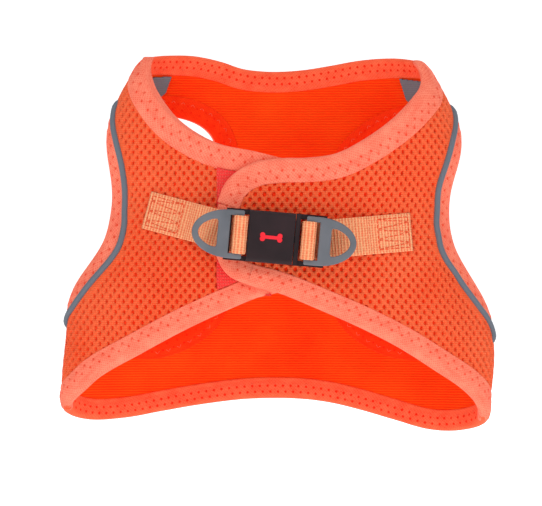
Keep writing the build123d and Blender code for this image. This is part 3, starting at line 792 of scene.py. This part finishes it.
keep_left = keep_front(LEFT, left_polygon, left_leg_line, LEFT_CHART)
keep_right = keep_front(RIGHT, right_polygon, right_leg_line, RIGHT_CHART)
left_seam = smooth_line(on_front(LEFT, LEFT_PIPING), 1.6)
right_seam = smooth_line(on_front(RIGHT, RIGHT_PIPING), 1.6)
hole_cloth("left_flap_air_mesh", LEFT, keep_left, "left_flap_mesh", 0.0, left_seam)
hole_cloth("right_flap_air_mesh", RIGHT, keep_right, "right_flap_mesh", 0.0, right_seam)
hole_cloth("chest_air_mesh", CHEST, keep_chest, "chest_mesh", -0.15, None)
lining_piece("left_flap_inner", LEFT, keep_left, "left_flap_lining")
lining_piece("right_flap_inner", RIGHT, keep_right, "right_flap_lining")
lining_piece("chest_inner", CHEST, keep_chest, "chest_lining")

# ---- folded binding tape
# Cross section: distance across (positive to the folded edge) and height.
TAPE_SECTION = [
    (-5.5, -0.6), (-5.45, 0.25), (-5.0, 0.5), (-4.2, 0.32), (-3.4, 0.55), (-2.0, 0.85), (0.0, 1.0),
    (2.2, 0.95), (4.0, 0.7), (5.0, 0.1), (5.6, -1.0), (5.75, -2.0), (5.6, -3.0), (5.0, -4.0),
    (4.0, -4.7), (2.2, -5.0), (0.0, -5.1), (-2.0, -4.95), (-3.4, -4.7), (-4.2, -4.5), (-5.0, -4.7),
    (-5.45, -4.4), (-5.5, -3.4),
]
# Where the zigzag turns, across the tape.
SEAM_OUTER = -2.8
SEAM_INNER = 0.4
TAPE_STEP = 1.15
PUCKER = 0.22
NECK_WIDE = 1.15
# How far a back flap's tape stands over the chest side's tape where they lap.
TAPE_LAP = 0.35
# Step of the tapes' lines before they are drawn, and the radius of their thread.
RUN_STEP = 2.5
THREAD = 0.17
# How steeply the neck tapes and the lower tapes run out at the sides.
NECK_FALL = 0.0
LOW_FALL = -0.5


def zigzag_seam(builder, chart, line, sideways, lengths):
    """The tape's zigzag of thread, as it shows outside and inside."""
    fine = np.arange(ZIGZAG, lengths[-1] - 0.6, ZIGZAG / 4)
    swing = 2 * np.abs((fine / (2 * ZIGZAG)) % 1.0 - 0.5)
    across = SEAM_OUTER + (SEAM_INNER - SEAM_OUTER) * swing
    flat = at_lengths(fine, lengths, line) + at_lengths(fine, lengths, sideways) * across[:, None]
    rise = 0.15 - 0.35 * np.cos(2 * math.pi * swing) ** 2
    for height in (0.75 + rise, -4.85 - rise):
        thread(builder, chart.point(*flat.T, height), THREAD, 1, 4)


def tape_piece(name, chart, line, fold_side, node, closed=False, wide=1.0, face=BINDING, lap=0.0):
    """A folded tape along a line, with a zigzag seam along its sewn edge."""
    line = smooth_line(line, TAPE_STEP)
    heading = unit(np.gradient(line, axis=0))
    if closed:
        line = line[:-1]
        heading = round_heading(line)
    sideways = chart.across(line, heading) * fold_side * wide
    lengths = run_lengths(line)
    section = np.array(TAPE_SECTION)
    w, t = section.T
    lift = lap * np.clip((lengths - lengths[-1] + 6.0) / 4.0, 0.0, 1.0)
    pucker = PUCKER * np.exp(-((w - SEAM_INNER + 1.0) / 2.0) ** 2)
    pull = np.cos(math.pi * lengths / ZIGZAG)[:, None] * pucker + lift[:, None]
    height = t + np.where(t > -2, pull, -pull)
    flat = line[:, None] + sideways[:, None] * w[:, None]
    verts = chart.point(*flat.reshape(-1, 2).T, height.ravel())
    uvs = np.stack(np.broadcast_arrays(lengths[:, None], run_lengths(section)), axis=-1) * MM
    builder = Builder()
    builder.add(verts, ring_faces(len(line), len(section), fold_side > 0, closed), 0, uvs)
    materials = [face, STITCH]
    if closed:
        # The part of a closed tape that folds under, inside the vest, takes the darker binding copy with
        # painted shade.
        below = t < -2.5
        builder.slots = [2 if part else 0 for part in np.tile(below & np.roll(below, -1), len(line))]
        materials.append(LEG_INSIDE_PAINTED_SHADE)
    zigzag_seam(builder, chart, line, sideways, lengths)
    finish_piece(builder.piece(name, materials), "vest", node)


def beyond(near, end, way):
    """The point past the end of a line that makes the line leave it along a given way."""
    way = unit(way)
    return near + 2 * np.dot(end - near, way) * way


def past(end, way):
    """Points that carry a line on past its end, so that two tapes overlap at the side."""
    return [end + unit(way) * step for step in (1.3, 2.6)]


def front_tape(name, chart, line, turn, side_z, fall, fold_side, node, wide=1.0):
    """A tape on a back flap that runs out to the side at a height, falling by fall mm in each mm."""
    end = chart.along(turn * math.pi / 2, side_z)[0], side_z
    run = np.vstack([on_front(chart, line), [end]])
    smooth = smooth_line(run, RUN_STEP, after=beyond(run[-2], end, (turn, fall)))
    smooth = np.vstack([smooth, past(end, (turn, fall))])
    tape_piece(name, chart, smooth, fold_side, node, wide=wide, lap=TAPE_LAP)
    return smooth


def chest_tape(name, line, side_left, side_right, fall, fold_side, node):
    """A tape of the chest side, from side to side, going on from the back flaps' tapes."""
    chart = CHEST_FROM_LEFT
    start = chart.along(-math.pi / 2, side_left)[0], side_left
    end = chart.along(-3 * math.pi / 2, side_right)[0], side_right
    run = np.vstack([[start], on_chest(chart, line, -1), [end]])
    before = beyond(run[1], start, (-1, fall))
    after = beyond(run[-2], end, (-1, -fall))
    smooth = smooth_line(run, RUN_STEP, before=before, after=after)
    smooth = np.vstack([past(start, (1, -fall))[::-1], smooth, past(end, (-1, -fall))])
    tape_piece(name, chart, smooth, fold_side, node, face=CHEST_BINDING)


def end_tape(name, chart, line, fold_side, node):
    """The tape round the end of a back flap."""
    tape_piece(name, chart, smooth_line(on_front(chart, line), RUN_STEP), fold_side, node)


# Neck: both back flaps and the chest panel meet at the sides.
# Heights at the left and the right side.
neck_sides = (93.5, 91.5)
neck_left = front_tape(
    "left_neck_tape", LEFT, LEFT_NECK[::-1], -1, neck_sides[0], NECK_FALL, 1, "left_neck_binding", NECK_WIDE
)
front_tape(
    "right_neck_tape", RIGHT, RIGHT_NECK, 1, neck_sides[1], NECK_FALL, 1, "right_neck_binding", NECK_WIDE
)
chest_tape("chest_neck_tape", CHEST_NECK, *neck_sides, NECK_FALL, -1, "chest_neck_binding")
end_tape("left_end_tape", LEFT, [LEFT_NECK[-1]] + LEFT_TIP + LEFT_LOWER[:1], 1, "left_end_binding")
end_tape("right_end_tape", RIGHT, [RIGHT_NECK[0]] + RIGHT_TIP + RIGHT_LOWER[:1], -1, "right_end_binding")

# Lower edges and hem.
low_sides = (-82.5, -88.5)
low_left = [LEFT_TIP[-1]] + LEFT_LOWER
low_right = [RIGHT_TIP[-1]] + RIGHT_LOWER
left_low = front_tape("left_lower_tape", LEFT, low_left, -1, low_sides[0], LOW_FALL, 1, "left_lower_binding")
front_tape("right_lower_tape", RIGHT, low_right, 1, low_sides[1], LOW_FALL, -1, "right_lower_binding")
chest_tape("hem_tape", HEM, *low_sides, LOW_FALL, 1, "hem_binding")
tape_piece("left_leg_tape", LEFT_CHART, left_leg_line, 1, "left_leg_binding", closed=True)
tape_piece("right_leg_tape", RIGHT_CHART, right_leg_line, -1, "right_leg_binding", closed=True)


PIPING_RADIUS = 1.65


def piping_piece(name, chart, line, node):
    """A round reflective piping lying on the back flap, its ends sunk into the cloth."""
    builder = Builder()
    flat = smooth_line(on_front(chart, line), 0.8)
    height = np.full(len(flat), 0.35)
    sink = (-1.3, -1.0, -0.6, -0.25, 0.05)
    height[:len(sink)] = sink
    height[-len(sink):] = sink[::-1]
    thread(builder, chart.point(*flat.T, height), PIPING_RADIUS, 0, 14, (0.45, 0.75, 0.92))
    finish_piece(builder.piece(name, [PIPING]), "vest", node)


piping_piece("left_piping", LEFT, LEFT_PIPING, "left_reflective_piping")
piping_piece("right_piping", RIGHT, RIGHT_PIPING, "right_reflective_piping")


PATCH_STEP = 0.4


def patch_piece(name, chart, corners, layers, material, node, tapes=()):
    """A small flat patch lying on the cloth, given by its corners in X and Z."""

    def keep(s, z):
        theta, x = chart.place(s, z)
        ok = inside(corners, x, z) & (np.cos(theta) * (-1 if chart is CHEST else 1) > 0)
        for line in tapes:
            gap = np.min(np.hypot(s[:, None] - line[:, 0], z[:, None] - line[:, 1]), axis=1)
            ok &= gap > BINDING_WIDTH / 2 + 0.2
        return ok

    levels = [corner[1] for corner in corners]
    low, high = min(levels) - 2, max(levels) + 2
    piece, _, _ = grid_shell(name, chart, keep, PATCH_STEP, low, high, layers, [material])
    finish_piece(piece, "vest", node)


patch_piece("hook_pad", LEFT, [(-32.0, 41), (-4, 41), (-4, -28), (-32.0, -28)], (1.0, 0.1),
            HOOK_LOOP, "hook_patch", (neck_left, left_low))
patch_piece("loop_pad", LEFT, [(-19, 30), (6, 30), (6, -10), (-19, -10)], (2.6, 1.7),
            HOOK_LOOP, "loop_patch")
patch_piece("left_shoulder_pad", CHEST, [(-80, 87), (-61.2, 88.6), (-64.4, 79.6), (-80, 68)],
            (-4.5, -5.4), PATCH, "left_shoulder_patch")
patch_piece("right_shoulder_pad", CHEST, [(68.8, 87.2), (84, 85), (82, 70), (72.4, 75.8)],
            (-4.5, -5.4), PATCH, "right_shoulder_patch")

# ---- webbing
# The buckle's place and the tilts of the three front planes; the loops round the rings' bars.
HARDWARE_X = -1.9
HARDWARE_Z = 2.3
HARDWARE_TILT = math.radians(5.0)
LEFT_WEB_TILT = math.radians(15.0)
RIGHT_WEB_TILT = math.radians(-5.0)
LEFT_RING_U = -18.4
RIGHT_RING_U = 17.4
RING_W = 51.3
WEB_THICK = 1.5
LOOP_IN = 2.3
LOOP_OUT = 3.8
LOOP_BACK = 43.7
LOOP_CORNER = 1.4
# Middle of a sewn strap end over the mesh, and a stitch over that middle.
STRAP_RISE = 0.9
STITCH_RISE = 0.74
# Stands for no lift, where a strap lies on the cloth.
LYING = -1000.0
# Half of the webbing's cross section: places across it and half its thickness there.
ACROSS = np.array([-10.0, -9.7, -9.0, -8.0, -6.0, -3.0, 0.0, 3.0, 6.0, 8.0, 9.0, 9.7, 10.0])
THICK = np.array([0.15, 0.62, 0.78, 0.74, 0.72, 0.74, 0.75, 0.74, 0.72, 0.74, 0.78, 0.62, 0.15])


class FrontPlane:
    """Directions across the front: u right and down by the tilt, v up, w outwards."""

    def __init__(self, x, z, tilt):
        self.x = x
        self.z = z
        self.u = np.array([math.cos(tilt), 0.0, -math.sin(tilt)])
        self.v = np.array([math.sin(tilt), 0.0, math.cos(tilt)])
        self.w = np.array([0.0, -1.0, 0.0])

    def point(self, u, v, w):
        u, v, w = np.broadcast_arrays(np.asarray(u, float), np.asarray(v, float), np.asarray(w, float))
        base = np.array([self.x, 0.0, self.z])
        return base + u[..., None] * self.u + v[..., None] * self.v + w[..., None] * self.w


HARDWARE = FrontPlane(HARDWARE_X, HARDWARE_Z, HARDWARE_TILT)
left_origin = HARDWARE.point(LEFT_RING_U, 0, 0)
right_origin = HARDWARE.point(RIGHT_RING_U, 0, 0)
LEFT_WEB = FrontPlane(left_origin[0], left_origin[2], LEFT_WEB_TILT)
RIGHT_WEB = FrontPlane(right_origin[0], right_origin[2], RIGHT_WEB_TILT)


def cloth_height(plane, u, v, lap):
    """How far out the mesh's outer face is under a point of a front plane."""
    place = plane.point(u, v, 0.0)
    centre, half_width, half_depth = form(place[..., 2])
    across = np.clip((place[..., 0] - centre) / half_width, -0.999, 0.999)
    return (half_depth + lap) * np.cos(np.arcsin(across))


def add_band(builder, rings, lengths, flip, closed=False):
    """Webbing from rings of points, with its weave running along it."""
    width = np.concatenate([ACROSS, ACROSS[::-1]])
    uvs = np.stack(np.broadcast_arrays(lengths[:, None], width), axis=-1) * MM
    builder.add(rings, ring_faces(len(rings), len(width), flip, closed), 0, uvs)


def strap_piece(name, plane, lap, line, sewn_out, sewn_in, inward, *nodes):
    """One strap: box-stitched to the flap, then lifting off it towards the buckle."""
    free = smooth_line(line, 0.9)[::inward]
    sewn = np.arange(sewn_out, free[0, 0] - inward * 0.4, inward * 0.9)
    places = np.concatenate([sewn, free[:, 0]])
    lifted = np.concatenate([np.full(len(sewn), LYING), free[:, 1]])
    rings = []
    for u, w in zip(places, lifted):
        lying = cloth_height(plane, u, ACROSS, lap) + STRAP_RISE
        away = min(1.0, abs(u - free[0, 0]) / 5.0)
        ease = away * away * (3 - 2 * away)
        middle = lying + (np.maximum(lying, w) - lying) * ease
        sides = [plane.point(u, ACROSS, middle + THICK), plane.point(u, ACROSS, middle - THICK)]
        rings.append(np.vstack([sides[0], sides[1][::-1]]))
    rings = np.array(rings)
    builder = Builder()
    add_band(builder, rings, run_lengths(rings[:, 6]), inward > 0)
    sewn_rows(builder, plane, lap, sewn_out, sewn_in, inward)
    piece = builder.piece(name, [WEBBING, STRAP_STITCH])
    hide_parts(*nodes)
    return piece


def stitch_run(builder, plane, lap, a, b):
    """A straight row of stitches on a sewn strap end, from a to b."""
    a = np.array(a, dtype=float)
    b = np.array(b, dtype=float)
    length = np.linalg.norm(b - a)
    count = max(2, int(length / 2.4))
    for k in range(count):
        f0 = (k + 0.12) / count
        f1 = (k + 0.88) / count
        f = np.linspace(f0, f1, 5)
        flat = a + (b - a) * f[:, None]
        hump = np.array([-0.25, 0.1, 0.2, 0.1, -0.25])
        height = cloth_height(plane, flat[:, 0], flat[:, 1], lap) + STRAP_RISE + STITCH_RISE + hump
        thread(builder, plane.point(flat[:, 0], flat[:, 1], height), 0.26, 1, 5)


def sewn_rows(builder, plane, lap, sewn_out, sewn_in, inward):
    """Close rows of stitches across a strap end, inside a stitched border."""
    o = sewn_out + inward * 1.6
    i = sewn_in - inward * 1.5
    h = 8.0
    for a, b in (((o, -h), (i, -h)), ((i, -h), (i, h)), ((i, h), (o, h)), ((o, h), (o, -h))):
        stitch_run(builder, plane, lap, a, b)
    rows = 6
    for k in range(rows):
        v = h * (2 * (k + 0.5) / rows - 1)
        lean = 1.1 if k % 2 else -1.1
        stitch_run(builder, plane, lap, (o, v - lean), (i, v + lean))


left_strap = strap_piece(
    "left_strap_web", LEFT_WEB, 0.0, [(-30.4, 29.9), (-23.5, 34.6), (-16.5, 39.9), (-8, 42.75), (2, 42.75)],
    -51.0, -30.9, 1, "left_strap_sewn_end", "left_strap"
)
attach(left_strap, "vest")
right_strap = strap_piece(
    "right_strap_web", RIGHT_WEB, FLAP_LAP, [(-2.8, 42.75), (9, 42.75), (20, 41.5), (34.7, 37.3)],
    54.5, 35.2, -1, "right_strap_sewn_end", "right_strap"
)
blend_from = RIGHT_WEB.point(35.5, 0, 37) * MM
blend_to = RIGHT_WEB.point(8, 0, 42) * MM
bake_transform(right_strap)


def web_loop(name, ring_u, body, node):
    """The webbing folded round a ring's bar."""
    radius = (LOOP_IN + LOOP_OUT) / 2
    low = LOOP_BACK + WEB_THICK / 2
    turn = low + LOOP_CORNER
    bend = (LOOP_CORNER, LOOP_CORNER)
    legs = np.linspace(RING_W - 1.0, turn, 4)
    path = arc((0.0, RING_W), (radius, radius), 0.0, math.pi, 12)
    path += [(-radius, w) for w in legs]
    path += arc((LOOP_CORNER - radius, turn), bend, math.pi, math.pi / 2, 4)[1:]
    path += [(0.0, low)]
    path += arc((radius - LOOP_CORNER, turn), bend, 1.5 * math.pi, math.pi / 2, 4)[:-1]
    path += [(radius, w) for w in legs[::-1]]
    path = np.array(path)
    heading = round_heading(path)
    rings = []
    for (u, w), (ahead, rise) in zip(path, heading):
        top = HARDWARE.point(ring_u + u + rise * THICK, ACROSS, w - ahead * THICK)
        under = HARDWARE.point(ring_u + u - rise * THICK, ACROSS, w + ahead * THICK)
        rings.append(np.vstack([top, under[::-1]]))
    builder = Builder()
    add_band(builder, np.array(rings), run_lengths(path), False, True)
    finish_piece(builder.piece(name, [WEBBING, STITCH]), body, node)


web_loop("left_loop_web", LEFT_RING_U, "vest", "left_web_loop")
web_loop("right_loop_web", RIGHT_RING_U, "buckle_male", "right_web_loop")

# ---- rings
# Half thickness of the rings, how far out their curves are centred, and the rounding of edges.
RING_HALF = 1.5
RING_MIDDLE = 5.0
RING_BEVEL = 0.55


def ring_lines(side):
    """A ring's outline, its D window and the slot for the web, each with the way its edge rounds."""
    edge = math.acos(6.6 / 16.7)
    outline = arc((side * RING_MIDDLE, 0.0), (side * 20.0, 12.7), math.pi / 2, -math.pi, 32)
    outline += [(-side * x, y) for x, y in ((1.0, -12.7), (1.7, -12.0), (1.7, 12.0), (1.0, 12.7))]
    window = arc((side * RING_MIDDLE, 0.0), (side * 16.7, 8.5), edge, -2 * edge, 24)
    x, top = window[0]
    upper = [(x, top - 1.6), (x + side * 0.45, top - 0.5)]
    window = upper + window[2:-2] + [(x, -y) for x, y in upper[::-1]]
    slot = [(side * x, y) for x, y in ((5.4, 10.3), (5.4, -10.3), (1.3, -10.3), (1.3, 10.3))]
    return (outline, 1), (window, -1), (slot, -1)


def ring_piece(name, side, ring_u, body, node):
    """A moulded ring: D window, crossbar and the bar that the web holds."""
    curve = bpy.data.curves.new(name, "CURVE")
    curve.dimensions = "2D"
    curve.fill_mode = "BOTH"
    for points, inset in ring_lines(side):
        p = np.array(points)
        heading = round_heading(p)
        normal = np.stack([heading[:, 1], -heading[:, 0]], axis=-1)
        if np.sum(normal * (p - p.mean(axis=0))) < 0:
            normal = -normal
        p = p - normal * RING_BEVEL * inset
        spline = curve.splines.new("POLY")
        spline.points.add(len(p) - 1)
        spline.points.foreach_set("co", np.column_stack([p * MM, np.zeros(len(p)), np.ones(len(p))]).ravel())
        spline.use_cyclic_u = True
    curve.extrude = (RING_HALF - RING_BEVEL) * MM
    curve.bevel_depth = RING_BEVEL * MM
    curve.bevel_resolution = 3
    flat = bpy.data.objects.new(name + "_flat", curve)
    bpy.context.scene.collection.objects.link(flat)
    bpy.context.view_layer.update()
    mesh = bpy.data.meshes.new_from_object(flat.evaluated_get(bpy.context.evaluated_depsgraph_get()))
    bpy.data.objects.remove(flat)
    co = np.empty(len(mesh.vertices) * 3)
    mesh.vertices.foreach_get("co", co)
    co = co.reshape(-1, 3) / MM
    placed = HARDWARE.point(ring_u + co[:, 0], co[:, 1], RING_W + co[:, 2]) * MM
    mesh.vertices.foreach_set("co", placed.ravel())
    mesh.update()
    mesh.materials.clear()
    mesh.materials.append(RING)
    mesh.name = name
    piece = bpy.data.objects.new(name, mesh)
    bpy.context.scene.collection.objects.link(piece)
    mesh.polygons.foreach_set("use_smooth", [True] * len(mesh.polygons))
    mesh.set_sharp_from_angle(angle=math.radians(35))
    finish_piece(piece, body, node)


ring_piece("left_ring_moulded", -1, LEFT_RING_U, "left_ring", "left_d_ring")
ring_piece("right_ring_moulded", 1, RIGHT_RING_U, "right_ring", "right_d_ring")

# ---- carried-over CAD pieces
for node, material in (
    ("buckle_housing", BUCKLE), ("buckle_insert", BUCKLE), ("upper_prong", BUCKLE),
    ("lower_prong", BUCKLE), ("buckle_emblem", EMBLEM),
):
    piece = bpy.data.objects[node]
    piece.data.materials.clear()
    piece.data.materials.append(material)
for node, width in (("buckle_housing", 0.45), ("buckle_insert", 0.35)):
    piece = bpy.data.objects[node]
    planar = piece.modifiers.new("planar", "DECIMATE")
    planar.decimate_type = "DISSOLVE"
    planar.angle_limit = math.radians(1.0)
    edge = piece.modifiers.new("edges", "BEVEL")
    edge.width = width * MM
    edge.segments = 3
    edge.limit_method = "ANGLE"
    edge.angle_limit = math.radians(40)
    edge.harden_normals = False

# ---- studio
FLOOR_Z = -0.116
FLOOR_NEAR = -3.5
BEND_START = 3.2
BEND_RADIUS = 1.2
WALL_TOP = 3.4
STAGE_HALF_WIDTH = 4.0
STAGE_GLOW = 0.70


def stage_material():
    """Pale paper that glows a little, so that it stays white behind the object."""
    material, tree, shader = node_material("pale_stage")
    soft = noise(tree, coordinates(tree, "Object"), 3.0)
    paint(tree, shader, soft, 0.3, 0.7, (0.86, 0.86, 0.86), (0.90, 0.90, 0.90))
    shader.inputs["Roughness"].default_value = 0.9
    shader.inputs["Emission Color"].default_value = (1.0, 1.0, 1.0, 1.0)
    shader.inputs["Emission Strength"].default_value = STAGE_GLOW
    return material


def backdrop():
    """A pale floor that curves up into a wall far behind the object."""
    profile = [(FLOOR_NEAR, 0.0)]
    profile += arc((BEND_START, BEND_RADIUS), (BEND_RADIUS, BEND_RADIUS), -math.pi / 2, math.pi / 2, 12)
    profile.append((BEND_START + BEND_RADIUS, WALL_TOP))
    verts = []
    for x in (-STAGE_HALF_WIDTH, STAGE_HALF_WIDTH):
        verts += [(x, y, FLOOR_Z + z) for y, z in profile]
    n = len(profile)
    faces = [(k, k + 1, n + k + 1, n + k) for k in range(n - 1)]
    floor = new_piece("stage_floor", np.array(verts) / MM, faces, [stage_material()])


backdrop()


def area_light(name, place, target, size, power):
    light = bpy.data.lights.new(name, "AREA")
    light.shape = "RECTANGLE"
    light.size = size[0]
    light.size_y = size[1]
    light.energy = power
    holder = bpy.data.objects.new(name, light)
    holder.location = place
    direction = Vector(target) - Vector(place)
    holder.rotation_euler = direction.to_track_quat("-Z", "Y").to_euler()
    bpy.context.scene.collection.objects.link(holder)


area_light("key", (-0.7, -1.3, 1.1), (0, 0, 0), (1.0, 1.0), 12.0)
area_light("fill", (1.1, -1.2, 0.4), (0, 0, 0), (1.2, 1.2), 6.6)
area_light("top", (0.0, 0.2, 1.6), (0, 0, 0), (1.4, 1.0), 7.5)
area_light("back", (0.9, 1.5, 0.9), (0, 0, 0), (1.2, 1.2), 10.5)
world = bpy.data.worlds.new("studio")
world.use_nodes = True
world.node_tree.nodes["Background"].inputs["Color"].default_value = (1.0, 1.0, 1.0, 1)
world.node_tree.nodes["Background"].inputs["Strength"].default_value = 0.225
bpy.context.scene.world = world
bpy.context.scene.view_settings.view_transform = "Standard"

# Camera: level with the vest, square on to the buckle, long lens.
VIEW_WIDTH = 0.2873
DISTANCE = 2.4
camera_data = bpy.data.cameras.new("camera")
camera_data.sensor_width = 36.0
camera_data.lens = 36.0 * DISTANCE / VIEW_WIDTH
camera_data.clip_end = 20.0
camera = bpy.data.objects.new("camera", camera_data)
camera.location = (-0.004, -DISTANCE, -0.0056)
camera.rotation_euler = (math.radians(90), 0, 0)
bpy.context.scene.collection.objects.link(camera)
bpy.context.scene.camera = camera
